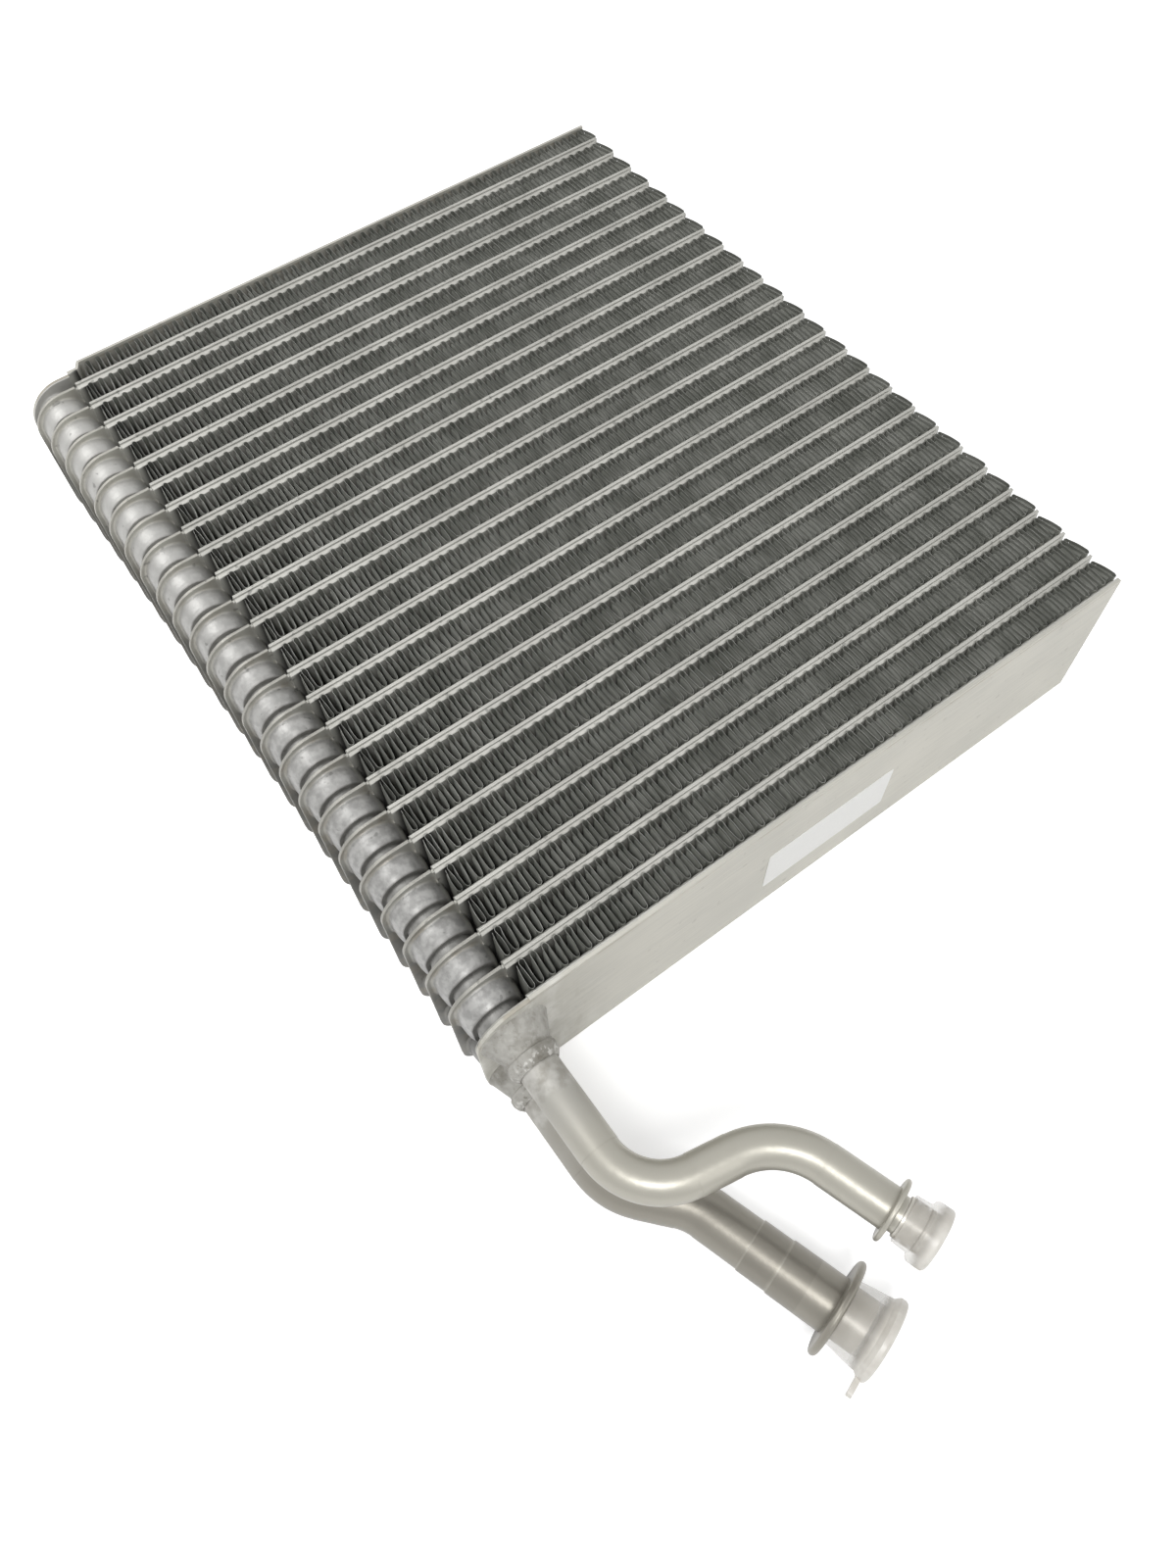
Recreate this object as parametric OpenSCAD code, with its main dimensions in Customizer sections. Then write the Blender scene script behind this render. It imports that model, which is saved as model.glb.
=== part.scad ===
// Evaporator core of the laminated kind, for a vehicle's air conditioning.
// Pairs of stamped aluminium plates are brazed together into flat tubes. Cups pressed in one
// end of each plate stack into an upper and a lower tank, and corrugated fins fill the gaps.
// Sizes are millimetres. The core lies on its lower face, with the tanks towards -X and the
// pipes leaving the front side plate towards -Y.

/* [Core] */
// Number of flat tubes
tube_count = 24; // [4:1:30]
// Distance from one tube to the next
tube_pitch = 11.7; // [10.5:0.1:15]
// Length of the tubes, from their square tank end to the far end
tube_length = 229.6; // [160:0.1:320]
// Depth of the core, from its lower to its upper face
core_depth = 60; // [50:0.5:80]
// Thickness of one tube, across its two walls
tube_thick = 2.8; // [2.4:0.1:4]
// Sheet thickness of the stamped plates
sheet = 0.5; // [0.3:0.05:0.6]
// Height of the plain brazed rim above the tube's shoulder
rim_height = 0.8; // [0.7:0.1:2]
// Width of the pressed divider between the two passes of a tube
divider_width = 3; // [2:0.5:8]
// Distance from the divider's end to the far end, where the flow turns
turn_length = 28; // [15:1:60]
// Sheet thickness of the two side plates
side_sheet = 1; // [0.8:0.1:2]
// Film of braze between two plates' rims
braze_film = 0.04; // [0.02:0.01:0.1]
// How much lower the rear fin strip is than the others, to take the side plate
rear_squeeze = 1; // [0:0.1:2]

/* [Tanks] */
// Distance that the tank end reaches beyond the tubes' square end
tank_reach = 19.2; // [17:0.1:26]
// Step from the top of the tubes down to the top of the tank rim
tank_drop = 1.2; // [0.6:0.1:4]
// Corner radius of the plate round the tanks
tank_corner = 12.5; // [6:0.5:14]
// Size of the relief notch between the tubes' square end and the tank rim
rim_notch = 0.8; // [0.4:0.1:1.5]
// Width of the cups along the tubes
cup_width = 19.6; // [14:0.1:20]
// Width of the flat rim left round the cups
cup_rim = 1.4; // [1:0.1:2.5]
// Flat strip between the upper and the lower cup
cup_gap = 3; // [2:0.5:8]
// Height of the narrow cup, pressed towards the rear
rear_cup_height = 4.4; // [3:0.1:5]
// How much narrower the rear cup is, on each side
cup_step = 2; // [0.8:0.1:2.5]
// Fillet between the flat rim and a cup's wall
cup_fillet = 0.7; // [0.3:0.1:1.2]
// How far a cup's wall curves inward towards its top
cup_bulge = 0.9; // [0.4:0.1:2]
// Half of the opening's width in a cup's top
cup_opening = 3.4; // [2:0.1:4.5]
// Distance from a cup's round end to the edge of its throat
throat_margin = 5; // [4:0.5:8]
// Height of the shallow cups that close the tanks at the rear
end_cup_height = 2; // [1.8:0.1:3]
// How much shorter the side plates are at the tanks than the stamped plates
side_inset = 1; // [0:0.1:1.5]
// Corner radius of the side plates round the tanks
side_corner = 14; // [8:0.5:15]
// Length of the slope where the rear side plate steps in to the tanks
joggle_run = 1.7; // [1:0.1:2.5]

/* [Fins] */
// Length of one wave of the fins
fin_wave = 3.84; // [3:0.02:6]
// Sheet thickness of the fins
fin_sheet = 0.2; // [0.1:0.05:0.4]
// Flat length of each crest, where it is brazed to a tube
fin_crest = 0.2; // [0.1:0.05:0.2]
// Distance from the core's faces to the fins' edges
fin_inset = 0.9; // [0.3:0.1:4]
// Distance from the tubes' square end to the first fin wall
fin_start = 4.2; // [2:0.1:10]
// Most that the last fin wall may stand beyond the tubes' far end
fin_past = 1.5; // [-6:0.1:2]

/* [Pipes] */
// Outer diameter of the liquid pipe, the thinner and upper one
liquid_d = 12; // [8:0.5:14]
// Outer diameter of the suction pipe, the thicker and lower one
suction_d = 15; // [12:0.5:16]
// Wall thickness of both pipes
pipe_wall = 1.2; // [0.8:0.1:1.8]
// Distance from the tubes' square end back to the pipes' centres
pipe_back = 6.8; // [6:0.1:9.5]
// Liquid pipe's first straight length
liquid_run_1 = 39.6; // [25:0.1:60]
// Radius of the liquid pipe's first bend
liquid_bend_1 = 20; // [15:0.5:30]
// Angle of the liquid pipe's first bend
liquid_turn_1 = 78.5; // [60:0.5:90]
// Liquid pipe's straight length between its bends
liquid_run_2 = 11.4; // [5:0.1:30]
// Radius of the liquid pipe's second bend
liquid_bend_2 = 24; // [15:0.5:30]
// Liquid pipe's last straight length, up to its bead
liquid_run_3 = 19.7; // [12:0.1:40]
// Suction pipe's first straight length
suction_run_1 = 36.8; // [25:0.1:60]
// Radius of the suction pipe's first bend
suction_bend_1 = 20.5; // [18:0.5:30]
// Angle of the suction pipe's first bend
suction_turn_1 = 41.5; // [25:0.5:60]
// Suction pipe's straight length between its bends
suction_run_2 = 11.3; // [5:0.1:30]
// Radius of the suction pipe's second bend
suction_bend_2 = 21.5; // [18:0.5:30]
// Suction pipe's last straight length, up to its bead
suction_run_3 = 41.7; // [34:0.1:60]
// Angle between both end legs and the stack's direction
leg_angle = 18; // [5:0.5:24]

/* [Pipe ends] */
// Diameter of the liquid pipe's bead
liquid_bead_d = 18; // [16:0.5:24]
// Diameter of the suction pipe's bead
suction_bead_d = 28; // [20:0.5:29]
// Length of the liquid pipe's spigot beyond its bead
liquid_spigot = 11.8; // [11:0.1:15]
// Length of the suction pipe's spigot beyond its bead
suction_spigot = 8.6; // [6:0.1:11]
// Distance from the suction bead back to the first swaged step
swage_1 = 27.5; // [20:0.5:30]
// Distance from the suction bead back to the second swaged step
swage_2 = 18; // [8:0.5:19]
// Growth of the suction pipe's radius at each swaged step
swage_step = 0.3; // [0.1:0.1:0.6]
// Gap left for the braze between a pipe and its boss
braze_gap = 0.05; // [0.02:0.01:0.1]
// Height of a boss above the side plate, with the braze round its pipe
boss_height = 12.6; // [8:0.1:16]

/* [Caps and label] */
// Clearance between a cap's bore and the spigot in it
cap_clearance = 0.1; // [0.05:0.05:0.3]
// Thickness of the liquid cap's end
liquid_cap_end = 1.5; // [1.2:0.1:4]
// Distance from the suction pipe's bead to its cap's outer face
suction_cap_reach = 15; // [14:0.5:20]
// Diameter of the liquid cap's lip
liquid_lip_d = 17.4; // [16:0.2:20]
// Diameter of the suction cap's lip
suction_lip_d = 24; // [22:0.5:27]
// Length of the pull tab on the suction cap
tab_length = 5.5; // [4:0.5:14]
// Length of the paper label
label_length = 51; // [30:1:90]
// Height of the paper label
label_height = 23; // [12:1:40]
// Thickness of the paper label
label_thick = 0.15; // [0.1:0.05:0.3]
// Distance from the tubes' square end to the label
label_start = 86.5; // [20:0.5:120]
// Height of the label's lower edge above the core's lower face
label_rise = 13.8; // [3:0.1:25]

/* [Hidden] */
$fn = 48;
over = 1;                       // how far a cut runs past a face
root2 = sqrt(2);
half_thick = tube_thick / 2;
half_stack = (tube_count + 1) * tube_pitch / 2;
slope_foot = rim_height - sheet;        // where a shoulder's slope meets the middle plane
slope_shift = sheet * root2;            // a sheet's thickness, measured along the flat
divider_half = divider_width / 2;
front_cup_height = tube_pitch - rear_cup_height;

// Cups: each is a slot-shaped pressing, half-round at its two ends
cup_half = cup_width / 2;
cup_x = cup_rim + cup_half - tank_reach;
cup_low = tank_drop + cup_rim;
cup_span = core_depth / 2 - cup_gap / 2 - cup_low;
cup_straight = cup_span - 2 * cup_half;
lower_tank_z = cup_low + cup_span / 2;
upper_tank_z = core_depth - lower_tank_z;
wall_steps = 4;                 // straight pieces in a cup wall's curve

// Fins
fin_height = tube_pitch - tube_thick;
fin_room = tube_length + fin_past - fin_start - fin_crest;
fin_waves = floor(fin_room / fin_wave);
fins_x = fin_start + (fin_room - fin_waves * fin_wave) / 2;
fins_end = fins_x + fin_waves * fin_wave + fin_crest;
rear_skip = 1;                  // waves that the rear strip leaves out, for the side plate's slope
rear_fin_height = fin_height - rear_squeeze;

// Rear side plate, seen from the rear tube: it lies on the fins, and steps in to close the tanks
rear_flat = half_thick + rear_fin_height;
rear_tank = rear_cup_height + end_cup_height;
joggle_end = fin_start + 0.8;
side_reach = tank_reach - side_inset;

// The rotation centre of the frame: the middle of everything, seen from above
liquid_turn_2 = liquid_turn_1 - leg_angle;
suction_turn_2 = suction_turn_1 - leg_angle;
front_face = half_stack + side_sheet;
function run_ahead(run_1, bend_1, turn_1, run_2, bend_2, run_3) =
    run_1 + bend_1 * sin(turn_1) + run_2 * cos(turn_1)
    + bend_2 * (sin(turn_1) - sin(leg_angle)) + run_3 * cos(leg_angle);
suction_ahead = run_ahead(suction_run_1, suction_bend_1, suction_turn_1,
                          suction_run_2, suction_bend_2, suction_run_3);
cap_round = 1;                  // rounding of a cap's outer edge
cap_ahead = (suction_cap_reach - cap_round) * cos(leg_angle)
    + (suction_lip_d / 2 - cap_round) * sin(leg_angle) + cap_round;
front_reach = front_face + suction_ahead + cap_ahead;
rear_face = half_stack - tube_pitch + rear_flat + side_sheet;
mid_x = (max(tube_length, fins_end) - tank_reach) / 2;
mid_y = (rear_face - front_reach) / 2;

// Pipe ends
liquid_r = liquid_d / 2;
suction_r = suction_d / 2;
socket_start = 1;               // a pipe's end stands this far above the side plate
bend_thinning = 0.1;            // a bent stretch is this much slimmer, as bending leaves it
bend_lap = 0.1;                 // how far a straight stretch laps over a bend's end
spigot_loss = 0.15;             // the spigots are turned down by this much
liquid_bead_thick = 1.5;
suction_bead_thick = 2.3;
ridge_count = 3;
ridge_pitch = 2.9;
ridge_width = 1.6;
ridge_depth = 0.7;
ridge_start = 2.6;

aluminium = "#b4b3ab";
fin_grey = "#63655f";
pipe_grey = "#b9b4a6";
cap_white = "#dcd8d0";
paper = "#e8e7e3";

function tube_name(k) = str("tube_", k < 10 ? "0" : "", k);
function fin_name(k) = str("fin_", k < 10 ? "0" : "", k);

// Station 0 is the rear side plate's seat, 1 to tube_count are the tubes, and the last is
// the front side plate's seat.
function station_y(k) = half_stack - k * tube_pitch;

module framed() translate([-mid_x, -mid_y, 0]) children();

// A plate is drawn flat, with its middle plane at z = 0, and then stood up facing the front
// or the rear of the stack.
module facing_front(k) framed() translate([0, station_y(k), 0]) rotate([90, 0, 0]) children();
module facing_rear(k) framed() translate([0, station_y(k), 0]) mirror([0, 1, 0])
    rotate([90, 0, 0]) children();

// A section in (across, out) swept along the tube from x0 to x1
module along_tube(x0, x1) translate([x0, 0, 0]) rotate([90, 0, 90])
    linear_extrude(x1 - x0) children();

// A section in (along, out) swept across the whole depth
module across_depth() translate([0, core_depth + over, 0]) rotate([90, 0, 0])
    linear_extrude(core_depth + 2 * over) children();

// Outline of a plate, with the tank end's round corners
module plate_outline(reach, corner) {
    square([tube_length, core_depth]);
    translate([-reach + corner, tank_drop])
        square([reach, core_depth - 2 * tank_drop]);
    translate([-reach, tank_drop + corner])
        square([reach, core_depth - 2 * tank_drop - 2 * corner]);
    for (y = [tank_drop + corner, core_depth - tank_drop - corner])
        translate([-reach + corner, y]) circle(r = corner);
}

// The tubes' plates have a relief notch where the tank rim starts
module tube_outline() difference() {
    plate_outline(tank_reach, tank_corner);
    for (y = [tank_drop - over, core_depth - tank_drop - rim_notch])
        translate([-rim_notch, y]) square([rim_notch, rim_notch + over]);
}

module side_outline() plate_outline(side_reach, side_corner);

// Sloped shoulders along both edges and at the far end, cut square at the tank end
module channel(foot, low, height, start) {
    intersection() {
        along_tube(start, tube_length) polygon(concat(
            low < 0 ? [[foot, low], [foot, 0]] : [[foot + low, low]],
            [[foot + height, height], [core_depth - foot - height, height]],
            low < 0 ? [[core_depth - foot, 0], [core_depth - foot, low]]
                    : [[core_depth - foot - low, low]]));
        across_depth() polygon([
            [start, low - over], [start, height + over], [tube_length - foot - height - over, height + over],
            [tube_length - foot + over, -over], [tube_length - foot + over, low - over]]);
    }
}

module divider(half, low, high, x0, x1) along_tube(x0, x1) translate([core_depth / 2, 0])
    polygon([[-half, low], [-half - (high - low), high], [half + (high - low), high], [half, low]]);

// Half of a cup's section: a fillet out of the rim, then a wall that curves inward to the top
function cup_wall(half, foot, top, bulge) = concat(
    [for (a = [0:45:90]) [half - cup_fillet * sin(a), foot + cup_fillet * (1 - cos(a))]],
    [for (i = [1:wall_steps]) let (t = i / wall_steps)
        [half - cup_fillet - bulge * pow(t, 3), foot + cup_fillet + t * (top - foot - cup_fillet)]]);
module cup_section(half, low, foot, top, bulge)
    polygon(concat([[0, low], [half, low]], cup_wall(half, foot, top, bulge), [[0, top]]));

// A slot-shaped solid: the section turned at both round ends, and swept along between them
module slot_solid(straight) {
    for (side = [0, 1]) mirror([0, side, 0]) translate([0, straight / 2, 0])
        rotate_extrude(angle = 180) children();
    translate([0, straight / 2, 0]) rotate([90, 0, 0]) linear_extrude(straight) {
        children();
        mirror([1, 0]) children();
    }
}

module at_cups() for (y = [lower_tank_z, upper_tank_z]) translate([cup_x, y, 0]) children();

module throat(inset, low, height) translate([0, -cup_span / 2 + throat_margin + inset, low])
    cube([-cup_x + sheet + 0.01, cup_span - 2 * throat_margin - 2 * inset, height - low]);

// Two cups outside, and the space and opening in them
module cups(half, low, height, bulge) at_cups() slot_solid(cup_straight)
    cup_section(half, low, sheet, height, bulge);
module cup_hollows(half, height, bulge) at_cups() slot_solid(cup_straight) {
    cup_section(half - sheet, -over, 0, height - sheet, bulge);
    square([cup_opening, height + over]);
}

// One stamped plate: its outline as the rim, the channel with its divider, and two cups
module half_plate(narrowing, cup_height, bulge) {
    half = cup_half - narrowing;
    low = braze_film / 2;
    difference() {
        union() {
            translate([0, 0, low]) linear_extrude(sheet - low) children();
            difference() {
                channel(slope_foot, low, half_thick, 0);
                divider(divider_half, sheet, half_thick + over, -over, tube_length - turn_length);
            }
            at_cups() throat(0, low, half_thick);
            cups(half, low, cup_height, bulge);
        }
        difference() {
            channel(slope_foot + slope_shift, -over, half_thick - sheet, sheet);
            divider(divider_half - sheet + slope_shift - over, -over, half_thick, 0,
                    tube_length - turn_length + sheet);
        }
        at_cups() throat(sheet, -over, half_thick - sheet);
        cup_hollows(half, cup_height, bulge);
    }
}

module narrow_half_plate() half_plate(cup_step, rear_cup_height, cup_bulge / 4) children();

module tube(k) color(aluminium) {
    facing_front(k) half_plate(0, front_cup_height, cup_bulge) tube_outline();
    facing_rear(k) narrow_half_plate() tube_outline();
}

// A fin is one strip folded to and fro. Each crest is flat outside, where it is brazed to a
// tube, and creased inside. A wave runs from one rear crest to the next. The rear strip is
// lower, and starts later, where the rear side plate has come up from the tanks.
module fin(k) {
    height = k == 0 ? rear_fin_height : fin_height;
    first = k == 0 ? rear_skip : 0;
    top = height / 2;
    run = fin_wave / 2 - fin_crest;
    wall_x = fin_sheet / sin(atan2(height, run));           // a wall's thickness along the tube
    crease = top - (wall_x - fin_crest / 2) * height / run;
    rear_side = [for (i = [first:fin_waves - 1]) let (x = fins_x + i * fin_wave) each [
        [x, top], [x + fin_crest, top], [x + fin_wave / 2 + fin_crest / 2, -crease]]];
    last_crest = [[fins_end - fin_crest, top], [fins_end, top]];
    front_side = [for (i = [fin_waves - 1:-1:first]) let (x = fins_x + i * fin_wave) each [
        [x + fin_wave / 2 + fin_crest, -top], [x + fin_wave / 2, -top],
        [x + fin_crest / 2, crease]]];
    color(fin_grey) framed() translate([0, station_y(k + 1) + half_thick + top, fin_inset])
        linear_extrude(core_depth - 2 * fin_inset)
        polygon(concat(rear_side, last_crest, front_side));
}

module front_side_plate() color(aluminium) facing_front(tube_count + 1)
    linear_extrude(side_sheet) difference() {
        side_outline();
        for (h = [[upper_tank_z, nose_r(liquid_r)], [lower_tank_z, nose_r(suction_r)]])
            translate([-pipe_back, h[0]]) circle(r = h[1] + braze_gap);
    }

// The front end plate is of the narrow kind, so that its cups meet those of the last tube.
module front_end_half_plate() color(aluminium) facing_rear(tube_count + 1) narrow_half_plate()
    side_outline();

// The rear side plate lies on the fins, and one slope brings it in to close the rear cups
module rear_side_plate() color(aluminium) facing_rear(1) {
    shift = side_sheet * tan(atan2(rear_flat - rear_tank, joggle_run) / 2);
    intersection() {
        linear_extrude(rear_flat + side_sheet + over) side_outline();
        across_depth() polygon([
            [-tank_reach, rear_tank], [joggle_end - joggle_run + shift, rear_tank],
            [joggle_end + shift, rear_flat], [tube_length + over, rear_flat],
            [tube_length + over, rear_flat + side_sheet], [joggle_end, rear_flat + side_sheet],
            [joggle_end - joggle_run, rear_tank + side_sheet],
            [-tank_reach, rear_tank + side_sheet]]);
    }
}

// Only the tank end of a plate, with shallow cups that meet the rear tube's narrow ones
module rear_end_half_plate() color(aluminium) framed()
    translate([0, station_y(1) + rear_tank, 0]) rotate([90, 0, 0]) difference() {
        half = cup_half - cup_step;
        low = braze_film / 2;
        union() {
            translate([0, 0, low]) linear_extrude(sheet - low) intersection() {
                side_outline();
                translate([-tank_reach, 0])
                    square([tank_reach + joggle_end - joggle_run, core_depth]);
            }
            cups(half, low, end_cup_height, cup_bulge / 4);
        }
        cup_hollows(half, end_cup_height, cup_bulge / 4);
    }

// Pipes are drawn along +Z from the side plate's face, with their first bend towards +X
module at_pipe(z) framed() translate([-pipe_back, -front_face, z]) rotate([90, 0, 0]) children();
module past_bend(radius, angle) translate([radius, 0, 0]) rotate([0, angle, 0])
    translate([-radius, 0, 0]) children();
module pipe_section(r) difference() {
    circle(r = r);
    circle(r = r - pipe_wall);
}
module straight(r, length) translate([0, 0, -bend_lap])
    linear_extrude(length + 2 * bend_lap) pipe_section(r);
module bend(r, radius, angle) translate([radius, 0, 0]) rotate([90, 0, 180])
    rotate_extrude(angle = angle) translate([radius, 0]) pipe_section(r - bend_thinning);

// Runs the pipe up to its end piece, and places that as its child at the bead's middle
module bent_pipe(r, run_1, bend_1, turn_1, run_2, bend_2, turn_2, run_3, end_piece) {
    translate([0, 0, socket_start + bend_lap]) straight(r, run_1 - socket_start - bend_lap);
    translate([0, 0, run_1]) {
        bend(r, bend_1, turn_1);
        past_bend(bend_1, turn_1) {
            straight(r, run_2);
            translate([0, 0, run_2]) {
                mirror([1, 0, 0]) bend(r, bend_2, turn_2);
                past_bend(-bend_2, -turn_2) {
                    straight(r, run_3 - end_piece - bend_lap);
                    translate([0, 0, run_3]) children();
                }
            }
        }
    }
}

module at_bead(run_1, bend_1, turn_1, run_2, bend_2, turn_2, run_3)
    translate([0, 0, run_1]) past_bend(bend_1, turn_1) translate([0, 0, run_2])
    past_bend(-bend_2, -turn_2) translate([0, 0, run_3]) children();

// Half of a bead's section: a rolled flange with a round edge
module bead_section(r, thick) {
    translate([0, -thick / 2]) square([r - thick / 2, thick]);
    translate([r - thick / 2, 0]) circle(r = thick / 2, $fn = 24);
}

module block(r, from, to) translate([0, from]) square([r, to - from]);

// Liquid pipe, with ridges for sealing rings along its spigot
module liquid_pipe() {
    spigot_r = liquid_r - spigot_loss;
    stub = 4;
    color(pipe_grey) at_pipe(upper_tank_z)
        bent_pipe(liquid_r, liquid_run_1, liquid_bend_1, liquid_turn_1, liquid_run_2,
                  liquid_bend_2, liquid_turn_2, liquid_run_3, stub)
        rotate_extrude() difference() {
            union() {
                block(liquid_r, -stub, 0);
                bead_section(liquid_bead_d / 2, liquid_bead_thick);
                block(spigot_r - ridge_depth, 0, liquid_spigot);
                for (i = [0:ridge_count - 1])
                    block(spigot_r, ridge_start + i * ridge_pitch,
                          ridge_start + i * ridge_pitch + ridge_width);
            }
            block(liquid_r - pipe_wall, -stub - over, liquid_spigot + over);
        }
}

// Suction pipe, swaged wider in two steps before its bead
module suction_pipe() {
    color(pipe_grey) at_pipe(lower_tank_z)
        bent_pipe(suction_r, suction_run_1, suction_bend_1, suction_turn_1, suction_run_2,
                  suction_bend_2, suction_turn_2, suction_run_3, swage_1)
        rotate_extrude() difference() {
            union() {
                block(suction_r + swage_step, -swage_1, 0);
                block(suction_r + 2 * swage_step, -swage_2, 0);
                bead_section(suction_bead_d / 2, suction_bead_thick);
                block(suction_r + spigot_loss, 0, suction_spigot);
            }
            block(suction_r - pipe_wall, -swage_1 - over, suction_spigot + over);
        }
}

module liquid_bead_place() at_bead(liquid_run_1, liquid_bend_1, liquid_turn_1, liquid_run_2,
                                   liquid_bend_2, liquid_turn_2, liquid_run_3) children();
module suction_bead_place() at_bead(suction_run_1, suction_bend_1, suction_turn_1, suction_run_2,
                                    suction_bend_2, suction_turn_2, suction_run_3) children();

// A boss has a nose in the side plate's hole, a wide foot on the plate, a waist, and the bulge
// of braze round the pipe that stands in its socket.
function nose_r(r) = r + 0.8;
module boss(r) rotate_extrude() polygon([
    [r - pipe_wall, -side_sheet], [nose_r(r), -side_sheet], [nose_r(r), 0], [r + 2.9, 0],
    [r + 2.9, 2.4], [r + 2.3, 4.2], [r + 1.5, 5.4], [r + 1.3, boss_height - 4.6],
    [r + 1.9, boss_height - 4], [r + 2, boss_height - 2.6], [r + 1.5, boss_height - 1.2],
    [r + 0.5, boss_height], [r + braze_gap, boss_height], [r + braze_gap, socket_start],
    [r - pipe_wall, socket_start]]);

module liquid_boss() color(pipe_grey) at_pipe(upper_tank_z) boss(liquid_r);
module suction_boss() color(pipe_grey) at_pipe(lower_tank_z) boss(suction_r);

// Round edge of a cap's lip, as points from the side to the end face
function lip_edge(r, top) = [for (a = [0:22.5:90])
    [r - cap_round * (1 - cos(a)), top - cap_round * (1 - sin(a))]];

module liquid_cap() {
    bore = liquid_r - spigot_loss + cap_clearance;
    lip = liquid_lip_d / 2;
    skirt = 3.4;
    depth = liquid_spigot + cap_clearance;
    reach = depth + liquid_cap_end;
    color(cap_white) at_pipe(upper_tank_z) liquid_bead_place() rotate_extrude() polygon(concat(
        [[bore, skirt], [bore + 0.75, skirt], [bore + 1.1, reach - 5.6],
         [lip - 0.6, reach - 5.3], [lip, reach - 4.6]],
        lip_edge(lip, reach), [[0, reach], [0, depth], [bore, depth]]));
}

module suction_cap() {
    bore = suction_r + spigot_loss + cap_clearance;
    lip = suction_lip_d / 2;
    skirt = 1.6;
    reach = suction_cap_reach;
    color(cap_white) at_pipe(lower_tank_z) suction_bead_place() {
        rotate_extrude() polygon(concat(
            [[bore, skirt], [bore + 1.5, skirt], [bore + 2.2, 6], [bore + 2.9, reach - 3.6],
             [lip - 0.5, reach - 2.8], [lip, reach - 2.2]],
            lip_edge(lip, reach),
            [[0, reach], [0, reach - 2], [bore, reach - 2]]));
        translate([-lip + 0.5, 0, reach - 2.2]) rotate([0, -90, 0]) {
            translate([-0.6, -1.3, 0]) cube([1.5, 2.6, tab_length - 1.3]);
            translate([-0.6, 0, tab_length - 1.3]) rotate([0, 90, 0]) cylinder(r = 1.3, h = 1.5);
        }
    }
}

// The paper label has its corners cut to a small radius and lies on the front side plate
module label() {
    corner = 1;
    color(paper) framed() translate([label_start, -front_face, label_rise]) rotate([90, 0, 0]) {
        translate([corner, 0, 0]) cube([label_length - 2 * corner, label_height, label_thick]);
        translate([0, corner, 0]) cube([label_length, label_height - 2 * corner, label_thick]);
        for (x = [corner, label_length - corner], y = [corner, label_height - corner])
            translate([x, y, 0]) cylinder(r = corner, h = label_thick);
    }
}

for (k = [1:tube_count])
    tube(k);
for (k = [1:tube_count + 1])
    fin(k - 1);
front_end_half_plate();
rear_end_half_plate();
front_side_plate();
rear_side_plate();
liquid_boss();
suction_boss();
liquid_pipe();
suction_pipe();
liquid_cap();
suction_cap();
label();
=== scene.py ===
import math

import bpy
import numpy as np
from mathutils import Matrix, Vector


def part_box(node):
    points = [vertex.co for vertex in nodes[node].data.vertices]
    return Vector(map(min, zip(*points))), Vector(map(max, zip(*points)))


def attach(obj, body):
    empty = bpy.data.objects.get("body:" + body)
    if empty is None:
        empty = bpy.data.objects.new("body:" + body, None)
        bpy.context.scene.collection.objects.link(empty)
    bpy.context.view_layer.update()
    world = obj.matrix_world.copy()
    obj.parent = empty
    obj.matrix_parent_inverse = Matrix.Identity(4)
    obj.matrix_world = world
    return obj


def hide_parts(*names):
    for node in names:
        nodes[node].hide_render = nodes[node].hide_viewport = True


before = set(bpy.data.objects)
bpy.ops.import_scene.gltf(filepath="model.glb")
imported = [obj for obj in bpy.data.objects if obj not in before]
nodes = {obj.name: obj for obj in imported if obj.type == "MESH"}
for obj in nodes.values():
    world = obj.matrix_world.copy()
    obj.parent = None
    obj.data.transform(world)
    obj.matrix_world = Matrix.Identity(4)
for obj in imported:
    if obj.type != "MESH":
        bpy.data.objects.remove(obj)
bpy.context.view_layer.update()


# Flat tubes. Each is two aluminium sheets, stamped with a rim, sloped shoulders and a cup over
# each tank, and brazed together at their rims. The braze leaves them dull, with fine grain and
# brown stains along the rims. Painted light makes the rims and cups lighter towards the rear.
class Wire:
    """The output of a node. Arithmetic on it adds Math nodes."""

    def __init__(self, tree, socket):
        self.tree = tree
        self.socket = socket

    def maths(self, operation, *values):
        return self.tree.node("ShaderNodeMath", {"operation": operation}, dict(enumerate(values)))

    def __add__(self, other):
        return self.maths("ADD", self, other)

    def __radd__(self, other):
        return self.maths("ADD", other, self)

    def __rsub__(self, other):
        return self.maths("SUBTRACT", other, self)

    def __mul__(self, other):
        return self.maths("MULTIPLY", self, other)

    def __rmul__(self, other):
        return self.maths("MULTIPLY", other, self)

    def ramp(self, low, high):
        """From 0 at low to 1 at high, with soft ends. It falls where low is above high."""
        return self.tree.node("ShaderNodeMapRange", {"interpolation_type": "SMOOTHSTEP"},
                              {"Value": self, "From Min": low, "From Max": high})

    def band(self, low, high, soft):
        """1 between low and high, falling to 0 over the width soft outside them."""
        return self.ramp(low - soft, low) * (1 - self.ramp(high, high + soft))


class NodeTree:
    """The nodes of a material or of the world, all made by one method."""

    def __init__(self, tree):
        self.tree = tree

    def node(self, kind, settings, inputs, output=0):
        made = self.tree.nodes.new(kind)
        for name, value in settings.items():
            setattr(made, name, value)
        for name, value in inputs.items():
            if isinstance(value, Wire):
                self.tree.links.new(value.socket, made.inputs[name])
            else:
                made.inputs[name].default_value = value
        return Wire(self, made.outputs[output])


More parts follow.
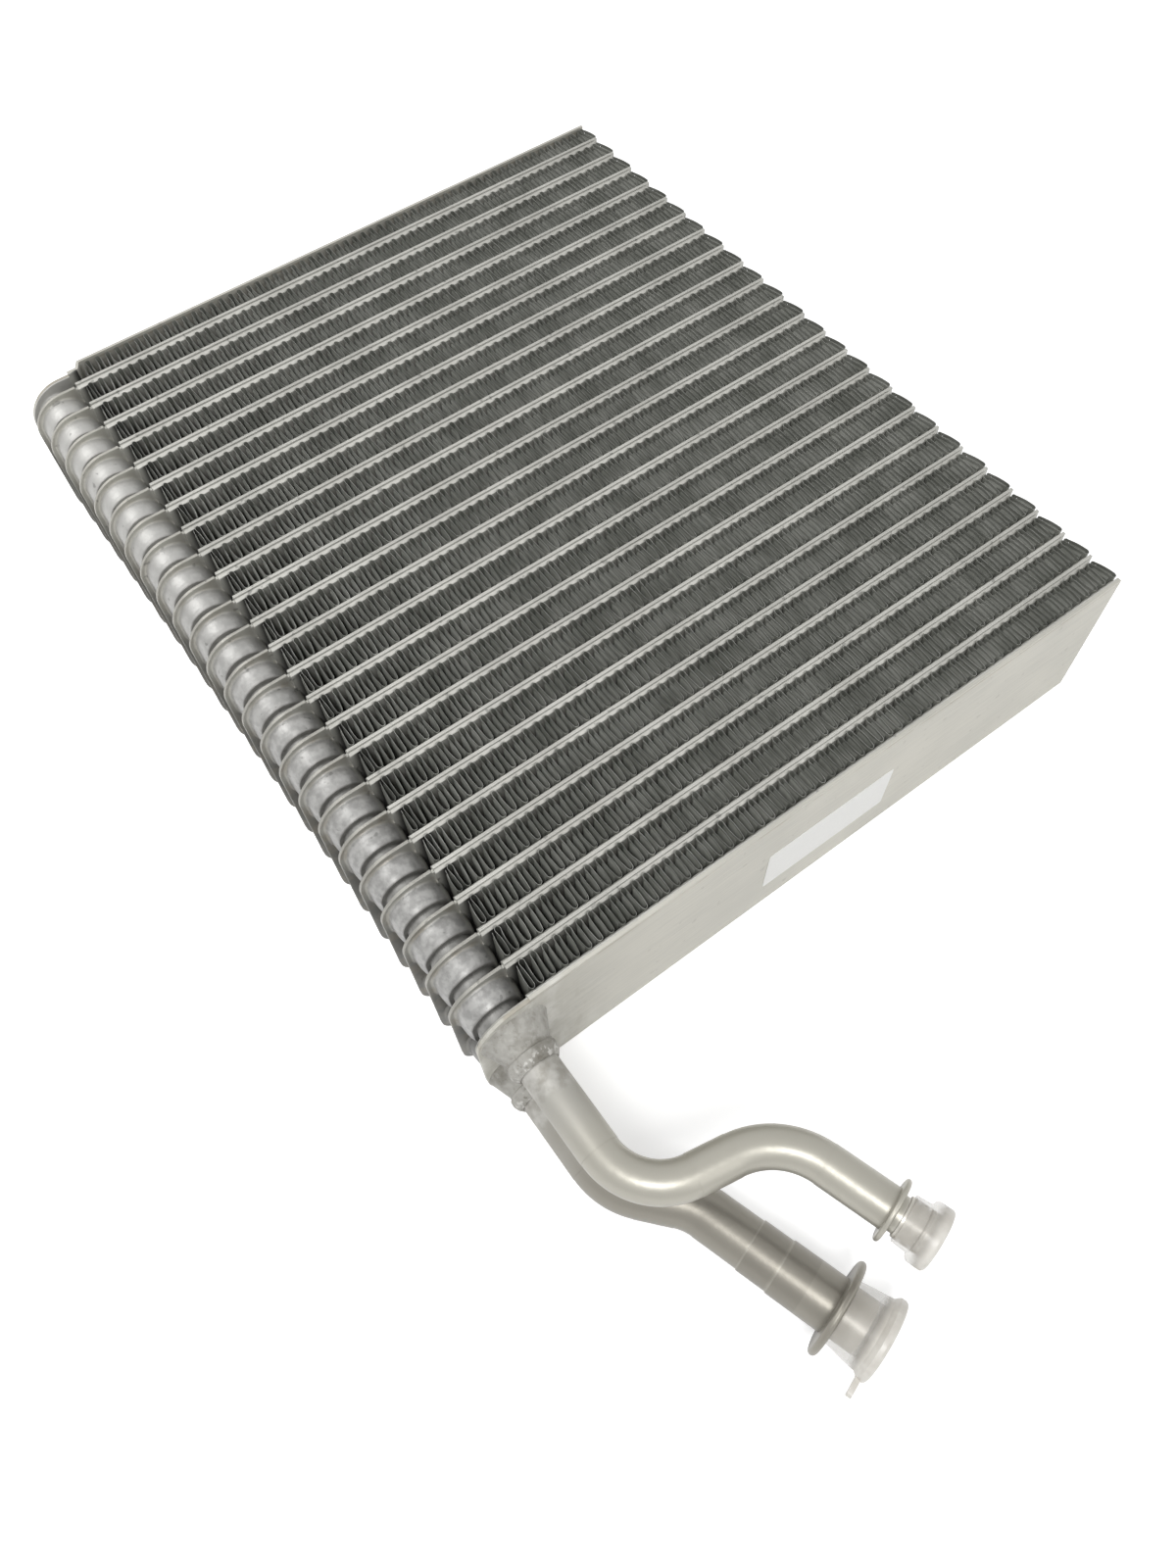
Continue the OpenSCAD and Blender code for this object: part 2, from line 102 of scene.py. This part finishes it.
class Finish(NodeTree):
    """One material: its shader, and the patterns that vary over the surface."""

    def __init__(self, name, **constants):
        self.material = bpy.data.materials.new(name)
        self.material.use_nodes = True
        super().__init__(self.material.node_tree)
        self.shader = self.tree.nodes["Principled BSDF"]
        for socket, value in constants.items():
            self.shader.inputs[socket.replace("_", " ")].default_value = value
        self.place = self.node("ShaderNodeTexCoord", {}, {}, "Object")

    def axis(self, name):
        return self.node("ShaderNodeSeparateXYZ", {}, {"Vector": self.place}, name)

    def stretched(self, x, y, z):
        return self.node("ShaderNodeVectorMath", {"operation": "MULTIPLY"},
                         {0: self.place, 1: (x, y, z)})

    def noise(self, scale, detail=3.0, place=None):
        return self.node("ShaderNodeTexNoise", {}, {
            "Vector": place or self.place, "Scale": scale, "Detail": detail, "Roughness": 0.55})

    def blend(self, share, first, second):
        return self.node(
            "ShaderNodeMix", {"data_type": "RGBA"}, {0: share, 6: first, 7: second}, 2)

    def layered(self, tone, *layers):
        """The tone under layers, each with the share that it covers and its own tone."""
        for share, cover in layers:
            tone = self.blend(share, tone, cover)
        return tone

    def bump(self, height, distance, **inputs):
        return self.node("ShaderNodeBump", {}, {"Height": height, "Distance": distance, **inputs})

    def soft_edges(self, radius):
        return self.node("ShaderNodeBevel", {"samples": 4}, {"Radius": radius})

    def show(self, **inputs):
        for socket, wire in inputs.items():
            self.tree.links.new(wire.socket, self.shader.inputs[socket.replace("_", " ")])

    def cover(self, *names):
        """Gives the CAD nodes of these names this finish alone."""
        for name in names:
            nodes[name].data.materials.clear()
            nodes[name].data.materials.append(self.material)


TUBE_PITCH = 0.0117
TUBE_LENGTH = 0.2296
CUP_HEIGHT = 0.0044
tube_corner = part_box("tube_01")[1]
SQUARE_END = tube_corner.x - TUBE_LENGTH
REAR_TUBE = tube_corner.y - CUP_HEIGHT

tube_finish = Finish("brazed_tube_plate", Metallic=0.45)
tube_clouds = tube_finish.noise(45)
tube_grain = tube_finish.noise(1100, 2.0)
tube_spots = tube_finish.noise(380, 1.0).ramp(0.70, 0.76)
tube_stains = tube_finish.noise(130, 4.0).ramp(0.42, 0.66)
tube_crackle = tube_finish.noise(420, 5.0)

before_rear = REAR_TUBE - tube_finish.axis("Y")
past_rim = before_rear.maths("WRAP", before_rear, TUBE_PITCH / 2, -TUBE_PITCH / 2)
from_rim = past_rim.maths("ABSOLUTE", past_rim)
past_end = tube_finish.axis("X")
at_tanks = 1 - past_end.ramp(SQUARE_END - 0.0016, SQUARE_END)
# Painted shade on the flat tube faces in the gap between the cups and the first fin.
painted_shade_before_fins = past_end.band(SQUARE_END + 0.0030, SQUARE_END + 0.0050, 0.0026)
off_rim = from_rim.ramp(0.0006, 0.0012) * at_tanks
rim_stain = past_rim.band(0.0005, 0.0010, 0.0003) * (0.15 + at_tanks)
# Painted shade in the recess of each narrow rear cup, behind the front cup's step.
rear_cup_painted_shade = past_rim.band(-0.0046, -0.0007, 0.0004) * at_tanks
# Painted shade at the tanks, darker downwards from the middle of the upper cups.
painted_shade_under_cups = (1 - tube_finish.axis("Z").ramp(0.034, 0.050)) * at_tanks
# Painted light: the rims and cups get lighter towards the rear, and the painted shade and stains
# fade there.
rearward_painted_light = tube_finish.axis("Y").ramp(-0.035, REAR_TUBE)

rim_tone = tube_finish.blend(rearward_painted_light, (0.33, 0.323, 0.292, 1), (0.43, 0.42, 0.375, 1))
cup_tone = tube_finish.blend(
    tube_crackle.ramp(0.36, 0.64), (0.29, 0.287, 0.278, 1), (0.41, 0.406, 0.394, 1))
cup_tone = tube_finish.blend(rearward_painted_light * 0.9, cup_tone, (0.50, 0.495, 0.475, 1))
plate_bare = tube_finish.blend(
    tube_clouds.ramp(0.30, 0.72), (0.47, 0.465, 0.43, 1), (0.58, 0.575, 0.535, 1))
tube_finish.show(
    Base_Color=tube_finish.layered(
        plate_bare,
        (at_tanks * 0.85, rim_tone),
        (off_rim, cup_tone),
        # painted shade in the rear cups
        (rear_cup_painted_shade * (0.5 - 0.35 * rearward_painted_light), (0.12, 0.117, 0.105, 1)),
        # painted shade under the cups
        (painted_shade_under_cups * 0.75, (0.10, 0.098, 0.09, 1)),
        (rim_stain * tube_stains * (0.6 - 0.4 * rearward_painted_light), (0.25, 0.228, 0.188, 1)),
        # painted shade before the fins
        (from_rim.ramp(0.00125, 0.0014) * painted_shade_before_fins, (0.07, 0.07, 0.065, 1)),
        (tube_spots * 0.5, (0.12, 0.12, 0.11, 1))),
    Roughness=0.36 + 0.14 * tube_clouds + 0.08 * tube_grain,
    Normal=tube_finish.bump(
        tube_grain + tube_clouds * 2.0, 0.00006, Normal=tube_finish.soft_edges(0.0005)))
tube_finish.cover(*(n for n in nodes if n.startswith("tube_") or n.endswith("_end_half_plate")))


# Fins. Each is one thin aluminium strip, folded to and fro between two tubes and cut into rows
# of small tilted slats. A dark coating sheds the water that condenses on them, and only the
# strip's cut edges stay bright. The strip's first fold stands free, close behind the cups.
fin_coat = Finish("coated_fin", Metallic=0.35)
fin_clouds = fin_coat.noise(90)
fin_tone = fin_coat.blend(
    fin_clouds.ramp(0.3, 0.7), (0.22, 0.226, 0.20, 1), (0.34, 0.345, 0.315, 1))
# Painted shade on the fins' first fold, close behind the cups.
painted_shade_beside_cups = 1 - fin_coat.axis("X").ramp(SQUARE_END + 0.0042, SQUARE_END + 0.0066)
fin_coat.show(
    Base_Color=fin_coat.blend(painted_shade_beside_cups * 0.6, fin_tone, (0.05, 0.05, 0.045, 1)),
    Roughness=0.42 + 0.2 * fin_clouds)
fin_edge = Finish("cut_fin_edge", Metallic=0.6)
fin_edge_clouds = fin_edge.noise(160)
fin_edge.show(
    Base_Color=fin_edge.blend(
        fin_edge_clouds.ramp(0.35, 0.65), (0.17, 0.174, 0.16, 1), (0.42, 0.42, 0.395, 1)),
    Roughness=0.35 + 0.15 * fin_edge_clouds)

# The strip's thickness, its waves and folds, and how they stray and crowd at the near end.
STRIP = 0.0001
WAVE = 0.00384
FOLD = 0.00088
FOLD_DEPTH = 0.0012
FOLD_TURN = math.radians(84)
CREST_START = 0.0001
CREST_SCATTER = 0.00009
CROWDING = 0.0007
CROWDING_REACH = 0.009
BOW = 0.00014
BOW_MEAN, BOW_SCATTER = 0.00003, 0.00010
# The free first fold, and the last wall and its two crests.
FREE_CREST = 0.00144
FREE_EDGE = 0.0016
LAST_CRESTS = (0.0011, -FOLD - 0.0016)
LAST_EDGE = 0.0017
LAST_BOW = 0.0003
# The part of a wall that is slit, the bands left whole in it, and the slats.
SLIT_FROM, SLIT_TO = 0.06, 0.94
PLAIN_EDGE = 0.0011
HALF_RIB = 0.0012
SLAT_PITCH = 0.0014
SLAT_REACH = 0.46
SLAT_TILT = math.radians(27)


def add_object(name, data):
    made = bpy.data.objects.new(name, data)
    bpy.context.scene.collection.objects.link(made)
    return made


def at_height(line, z):
    """A line across the strip, of one point for each wall or fold, set at height z."""
    return np.stack([line[0], line[1], np.full_like(line[0], z)], 1)


def fin_mesh(name, low, high, seed):
    """Walls between the two tubes, joined by rounded folds, along a box from low to high."""
    rng = np.random.default_rng(seed)
    walls = 2 * round((high.x - low.x) / WAVE) + 2
    middle, half = (low.y + high.y) / 2, (high.y - low.y) / 2
    side = np.where(np.arange(walls + 1) % 2 == 0, 1.0, -1.0)
    crest_x = low.x + CREST_START + WAVE / 2 * (np.arange(walls + 1) - 2)
    crest_x[2:-1] += rng.normal(0, CREST_SCATTER, walls - 2)
    crest_x[3::2] -= CROWDING * np.exp((low.x - crest_x[3::2]) / CROWDING_REACH)
    crest_x[1] = low.x - FREE_CREST
    crest_x[-2:] += LAST_CRESTS
    bow = -BOW * side[:-1] + rng.normal(BOW_MEAN, BOW_SCATTER, walls)
    bow[-1] = LAST_BOW
    points, quads, kinds = [], [], []

    def add(corners, kind):
        """Adds quads whose corners come as four arrays of points."""
        start = sum(len(p) for p in points)
        stack = np.stack(corners, 1).reshape(-1, 3)
        points.append(stack)
        count = len(stack) // 4
        quads.append(start + np.arange(count * 4).reshape(-1, 4))
        kinds.append(np.full(count, kind))

    def at_fold(crest, angle):
        return (crest_x[crest] + FOLD * math.sin(angle),
                middle + side[crest] * (half - FOLD_DEPTH * (1 - math.cos(angle))))

    wall = np.arange(walls)
    from_x, from_y = at_fold(wall, FOLD_TURN)
    to_x, to_y = at_fold(wall + 1, -FOLD_TURN)
    from_x[0], to_x[-1] = low.x - FREE_EDGE, high.x - LAST_EDGE

    def on_wall(s):
        return (from_x + (to_x - from_x) * s + bow * 4 * s * (1 - s),
                from_y + (to_y - from_y) * s)

    def strip(a, b, z0, z1):
        """A band of the strip between two of its lines, from z0 up to z1."""
        add([at_height(a, z0), at_height(b, z0), at_height(b, z1), at_height(a, z1)], 0)

    def edge(a, b, z):
        """The cut edge of the strip, seen from above or below."""
        dx, dy = b[0] - a[0], b[1] - a[1]
        size = np.hypot(dx, dy)
        nx, ny = -dy / size * STRIP / 2, dx / size * STRIP / 2
        add([at_height((p[0] + sign * nx, p[1] + sign * ny), z)
             for p, sign in ((a, -1), (b, -1), (b, 1), (a, 1))], 1)

    def slat(a, b, z, dx, dz):
        """A tilted slat along a wall, its edges dx and dz to both sides of its middle."""
        add([at_height((p[0] + sign * dx, p[1]), z + sign * dz)
             for p, sign in ((a, -1), (b, -1), (b, 1), (a, 1))], 0)

    angles = np.linspace(-FOLD_TURN, FOLD_TURN, 7)
    for a, b in zip(angles[:-1], angles[1:]):
        # Of the last crest there is only the far half.
        crests = np.arange(1, walls + 1 if a > -0.01 else walls)
        strip(at_fold(crests, a), at_fold(crests, b), low.z, high.z)
        for z in (low.z, high.z):
            edge(at_fold(crests, a), at_fold(crests, b), z)

    spans = [0, SLIT_FROM, 0.28, 0.5, 0.72, SLIT_TO, 1]
    for s0, s1 in zip(spans[:-1], spans[1:]):
        for z in (low.z, high.z):
            edge(on_wall(s0), on_wall(s1), z)
    strip(on_wall(0), on_wall(SLIT_FROM), low.z, high.z)
    strip(on_wall(SLIT_TO), on_wall(1), low.z, high.z)

    middle_z = (low.z + high.z) / 2
    first_slit, last_slit = low.z + PLAIN_EDGE, high.z - PLAIN_EDGE
    rib_low, rib_high = middle_z - HALF_RIB, middle_z + HALF_RIB
    for z0, z1 in ((low.z, first_slit), (rib_low, rib_high), (last_slit, high.z)):
        for s0, s1 in zip(spans[1:-2], spans[2:-1]):
            strip(on_wall(s0), on_wall(s1), z0, z1)
    for z0, z1, lean in ((first_slit, rib_low, -1), (rib_high, last_slit, 1)):
        slats = round((z1 - z0) / SLAT_PITCH)
        pitch = (z1 - z0) / slats
        reach = pitch * SLAT_REACH
        dx, dz = lean * reach * math.sin(SLAT_TILT), reach * math.cos(SLAT_TILT)
        for z in z0 + pitch * (np.arange(slats) + 0.5):
            for s0, s1 in ((SLIT_FROM, 0.5), (0.5, SLIT_TO)):
                slat(on_wall(s0), on_wall(s1), z, dx, dz)

    mesh = bpy.data.meshes.new(name)
    mesh.from_pydata(np.concatenate(points).tolist(), [], np.concatenate(quads).tolist())
    mesh.polygons.foreach_set("material_index", np.concatenate(kinds).astype(np.int32))
    mesh.materials.append(fin_coat.material)
    mesh.materials.append(fin_edge.material)
    return mesh


for name in [n for n in nodes if n.startswith("fin_")]:
    louvred = "louvred_" + name
    fin = add_object(louvred, fin_mesh(louvred, *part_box(name), seed=int(name[4:])))
    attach(fin, "root")
    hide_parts(name)


# Side plates. They are plain rolled sheet, one at each end of the stack, brazed to the last
# half plates and fins. The mill's fine lines run along them, with dull stains from the braze,
# a brown line under the upper edge, and smears of flux beside the bosses.
plate_finish = Finish("rolled_side_plate", Metallic=0.45)
plate_lines = plate_finish.noise(60, 4.0, plate_finish.stretched(1, 30, 30))
plate_clouds = plate_finish.noise(22)
plate_smears = plate_finish.noise(95, 5.0, plate_finish.stretched(1, 1, 0.5))
plate_specks = plate_finish.noise(300, 2.0).ramp(0.68, 0.74)
near_bosses = 1 - plate_finish.axis("X").ramp(SQUARE_END - 0.004, SQUARE_END + 0.030)
under_edge = plate_finish.axis("Z").band(0.0583, 0.0588, 0.0004)
edge_line = under_edge * plate_finish.noise(90).ramp(0.35, 0.6)
plate_tone = plate_finish.blend(
    (plate_lines * 0.5 + plate_clouds * 0.5).ramp(0.35, 0.65),
    (0.47, 0.46, 0.415, 1), (0.56, 0.545, 0.49, 1))
plate_finish.show(
    Base_Color=plate_finish.layered(
        plate_tone,
        (plate_smears.ramp(0.5, 0.66) * near_bosses, (0.64, 0.63, 0.59, 1)),
        (plate_smears.ramp(0.45, 0.36) * near_bosses * 0.6, (0.33, 0.305, 0.25, 1)),
        (edge_line * 0.55, (0.30, 0.265, 0.205, 1)),
        (plate_specks * 0.35, (0.28, 0.26, 0.23, 1))),
    Roughness=0.42 + 0.14 * plate_clouds + 0.1 * plate_lines + 0.15 * near_bosses,
    Normal=plate_finish.bump(plate_lines + plate_clouds, 0.00005))
plate_finish.cover("front_side_plate", "rear_side_plate")


# Bosses. Each is a turned aluminium collar brazed over a tank, and the pipe's end stands in it
# in a rough, whitish bulge of braze and dried flux. Braze also fills the corner at the plate.
BOSS_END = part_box("liquid_boss")[0].y
boss_finish = Finish("fluxed_boss", Metallic=0.25)
boss_lumps = boss_finish.noise(110, 3.0)
boss_crackle = boss_finish.noise(520, 4.0)
at_braze = 1 - boss_finish.axis("Y").ramp(BOSS_END + 0.0012, BOSS_END + 0.0034)
boss_tone = boss_finish.blend(
    boss_lumps.ramp(0.33, 0.64), (0.22, 0.21, 0.183, 1), (0.39, 0.38, 0.35, 1))
boss_finish.show(
    Base_Color=boss_finish.layered(
        boss_tone,
        (boss_crackle.ramp(0.52, 0.60) * (0.2 + 0.6 * at_braze), (0.60, 0.59, 0.56, 1)),
        (boss_crackle.ramp(0.42, 0.36) * (0.25 + 0.35 * at_braze), (0.14, 0.128, 0.10, 1))),
    Roughness=0.52 + 0.2 * boss_lumps,
    Normal=boss_finish.bump(boss_lumps * 2.0 + boss_crackle * (0.15 + 0.5 * at_braze), 0.00035))
boss_finish.cover("liquid_boss", "suction_boss")

FLANGE_LIP = 0.0016
COLLAR_FOOT = 0.00175
COLLAR_HEIGHT = 0.0070
COLLAR_SINK = 0.00005


def flux_collar(boss, flare, seed):
    """The uneven fillet of braze from the side plate up to a boss's waist."""
    rng = np.random.default_rng(seed)
    low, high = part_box(boss)
    plate_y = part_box("front_side_plate")[0].y
    centre_x, centre_z = (low.x + high.x) / 2, (low.z + high.z) / 2
    waist = (high.x - low.x) / 2 - FLANGE_LIP
    steps, count = 13, 90
    turns = np.linspace(0, 2 * math.pi, count, endpoint=False)
    waves = sum(rng.normal(0, 1 / n) * np.sin(n * turns + rng.uniform(0, 6.3))
                for n in range(1, 11))
    waves /= np.abs(waves).max()
    points = []
    for t in np.linspace(0, 1, steps):
        for turn, wave in zip(turns, waves):
            radius = waist + (COLLAR_FOOT + flare * (0.8 + 0.2 * wave)) * (1 - t) ** 0.9
            out = COLLAR_HEIGHT * t ** 1.15 * (1 + 0.10 * wave)
            points.append((centre_x + radius * math.cos(turn), plate_y + COLLAR_SINK - out,
                           centre_z + radius * math.sin(turn)))
    quads = [(i * count + j, i * count + (j + 1) % count,
              (i + 1) * count + (j + 1) % count, (i + 1) * count + j)
             for i in range(steps - 1) for j in range(count)]
    mesh = bpy.data.meshes.new(boss + "_flux")
    mesh.from_pydata(points, [], quads)
    mesh.polygons.foreach_set("use_smooth", np.ones(len(quads), bool))
    mesh.materials.append(boss_finish.material)
    collar = add_object(boss + "_flux", mesh)
    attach(collar, "root")


flux_collar("liquid_boss", 0.0024, 3)
flux_collar("suction_boss", 0.0009, 8)


# Pipes. They are drawn aluminium tube, bent cold, with a rolled bead near the end and a turned
# spigot beyond it. Their skin is satin, with faint drawing marks, and the heat of brazing has
# left it white and matt next to the bosses. The suction pipe is swaged wider in two steps.
LAST_LEG_X, LAST_LEG_Y = 0.309017, -0.951057
SWAGE_LENGTH = 0.0085


def along_last_leg(look):
    return look.node("ShaderNodeVectorMath", {"operation": "DOT_PRODUCT"},
                     {0: look.place, 1: (LAST_LEG_X, LAST_LEG_Y, 0)}, "Value")


def cap_middle(pipe):
    """How far along the pipes' last legs the middle of a pipe's cap lies."""
    low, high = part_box(pipe + "_cap")
    return LAST_LEG_X * (low.x + high.x) / 2 + LAST_LEG_Y * (low.y + high.y) / 2


def drawn_skin(pipe, dark, light, steps=()):
    """The steps are swages, given by how far they lie before the middle of the cap."""
    look = Finish("drawn_" + pipe)
    clouds = look.noise(75)
    scuffs = look.noise(500, 4.0)
    haze = look.axis("Y").ramp(BOSS_END - 0.034, BOSS_END - 0.006)
    haze = haze * (0.55 + 0.45 * look.noise(60, 4.0).ramp(0.3, 0.6))
    height = look.axis("Z")
    # Painted light and shade: the pipes' upper flanks are lighter and their lower flanks darker.
    painted_light_upper_flank = height.ramp(0.0395, 0.0478) + height.ramp(0.0095, 0.0205) * (
        1 - height.ramp(0.028, 0.032))
    tone = look.blend((painted_light_upper_flank * 0.8 + clouds * 0.3).ramp(0.05, 1.0), dark, light)
    along = along_last_leg(look)
    for step in steps:
        start = cap_middle(pipe) - step
        # At each swage: a darker segment, and a painted highlight along the step's edge just
        # before it.
        tone = look.layered(
            tone,
            (along.band(start, start + SWAGE_LENGTH, 0.0004) * 0.16, dark),
            (along.band(start - 0.0002, start, 0.0003) * 0.24, (0.60, 0.58, 0.52, 1)))
    spigot = cap_middle(pipe) - 0.0062
    flux = (look.axis("Y") + 0.007 * look.noise(140)).ramp(BOSS_END - 0.0065, BOSS_END - 0.0035)
    flux_lumps = look.noise(260, 5.0)
    flux_tone = look.blend(
        flux_lumps.ramp(0.32, 0.64), (0.31, 0.297, 0.265, 1), (0.50, 0.49, 0.46, 1))
    look.show(
        Base_Color=look.layered(
            tone,
            (along.ramp(spigot - 0.001, spigot), (0.56, 0.54, 0.49, 1)),
            (haze * 0.8, (0.39, 0.38, 0.35, 1)),
            (flux * 0.8, flux_tone)),
        Metallic=0.6 - 0.25 * haze,
        Roughness=0.31 + 0.08 * clouds + 0.06 * scuffs + 0.2 * haze,
        Normal=look.bump(scuffs + clouds + flux * flux_lumps * 4.0, 0.00005))
    look.cover(pipe + "_pipe")


drawn_skin("liquid", (0.14, 0.13, 0.112, 1), (0.41, 0.395, 0.345, 1))
drawn_skin("suction", (0.08, 0.072, 0.06, 1), (0.265, 0.25, 0.215, 1), (0.0361, 0.0266))


# Transport caps. They are soft moulded plastic, milky where it is thick, and clear enough in
# the sleeve to show the metal spigot inside.
def milky_finish(pipe, sleeve):
    """Clear by the opacity sleeve up to the cap's lip."""
    look = Finish("milky_" + pipe + "_cap", Roughness=0.32)
    milk = look.noise(220)
    lip = along_last_leg(look).ramp(cap_middle(pipe) + 0.0005, cap_middle(pipe) + 0.0035)
    look.show(
        Base_Color=look.blend(
            milk.ramp(0.3, 0.7), (0.66, 0.63, 0.575, 1), (0.78, 0.755, 0.70, 1)),
        Alpha=sleeve + (0.9 - sleeve) * lip,
        Normal=look.bump(milk, 0.0001))
    look.cover(pipe + "_cap")


milky_finish("liquid", 0.36)
milky_finish("suction", 0.3)


# Label. It is a bare white paper sticker, pressed on the front side plate by hand. The paper
# has a faint fibre.
paper_finish = Finish("label_paper", Roughness=0.6)
paper_fibre = paper_finish.noise(900, 5.0)
paper_finish.show(
    Base_Color=paper_finish.blend(paper_fibre, (0.80, 0.80, 0.78, 1), (0.88, 0.88, 0.86, 1)),
    Normal=paper_finish.bump(paper_fibre, 0.00003))
paper_finish.cover("label")


# Studio. The core lies on a pale floor under a large soft lamp behind it and to its left, with
# a smaller one beside the camera and a weak one low in front. The camera looks down on the
# core's near corner. Its focal length and centre are in the pixels of the whole image.
IMAGE_WIDTH, IMAGE_HEIGHT = 1200, 1600
FOCAL_LENGTH = 1227.77
CENTRE_X, CENTRE_Y = 623.0, 787.06
SENSOR = 36
CAMERA_PLACE = (-0.146315, -0.176889, 0.3688)
FLOOR_REACH = 3
FLOOR_DROP = -0.0004

camera = add_object("camera", bpy.data.cameras.new("camera"))
camera.data.sensor_width = SENSOR
camera.data.lens = FOCAL_LENGTH / IMAGE_HEIGHT * SENSOR
camera.data.shift_x = (IMAGE_WIDTH / 2 - CENTRE_X) / IMAGE_HEIGHT
camera.data.shift_y = (CENTRE_Y - IMAGE_HEIGHT / 2) / IMAGE_HEIGHT
camera.data.clip_start = 0.01
ahead = Vector((0.28093, 0.38473, -0.87924)).normalized()
above = Vector((0.52831, 0.70284, 0.47634))
across = ahead.cross(above).normalized()
above = across.cross(ahead)
turned = Matrix((across, above, -ahead)).transposed()
camera.matrix_world = Matrix.Translation(CAMERA_PLACE) @ turned.to_4x4()
bpy.context.scene.camera = camera


def white_rays(tree):
    """1 for what the camera sees straight, in metal or through plastic, and 0 for light."""
    rays = [tree.node("ShaderNodeLightPath", {}, {}, ray)
            for ray in ("Is Camera Ray", "Is Glossy Ray", "Is Transmission Ray")]
    return (rays[0] + rays[1] + rays[2]).ramp(0.0, 1.0)


floor = add_object("floor", bpy.data.meshes.new("floor"))
floor_corners = ((-1, -1), (1, -1), (1, 1), (-1, 1))
floor.data.from_pydata(
    [(x * FLOOR_REACH, y * FLOOR_REACH, FLOOR_DROP) for x, y in floor_corners],
    [], [(0, 1, 2, 3)])
floor_finish = Finish(
    "pale_floor", Roughness=0.9, Base_Color=(0.86, 0.86, 0.86, 1), Emission_Strength=0.5)
floor_finish.show(Emission_Color=floor_finish.blend(
    white_rays(floor_finish), (0, 0, 0, 1), (1, 1, 1, 1)))
floor.data.materials.append(floor_finish.material)

world = bpy.data.worlds.new("studio")
bpy.context.scene.world = world
world.use_nodes = True
sky = NodeTree(world.node_tree)
backdrop = world.node_tree.nodes["Background"]
backdrop.inputs["Color"].default_value = (1, 1, 1, 1)
sky.tree.links.new((0.36 + 0.64 * white_rays(sky)).socket, backdrop.inputs["Strength"])


def lamp(name, place, aim, size, power):
    light = add_object(name, bpy.data.lights.new(name, "AREA"))
    light.data.size = size
    light.data.energy = power
    light.location = place
    light.rotation_mode = "QUATERNION"
    light.rotation_quaternion = (Vector(aim) - Vector(place)).to_track_quat("-Z", "Y")


lamp("key", (-0.6, 0.7, 1.1), (0, 0, 0), 0.7, 7)
lamp("front", (-0.45, -0.55, 1.2), (0, -0.05, 0), 0.35, 6.5)
lamp("fill", (0.3, -1.2, 0.7), (0, -0.1, 0), 0.8, 3.5)

bpy.context.scene.view_settings.view_transform = "Standard"
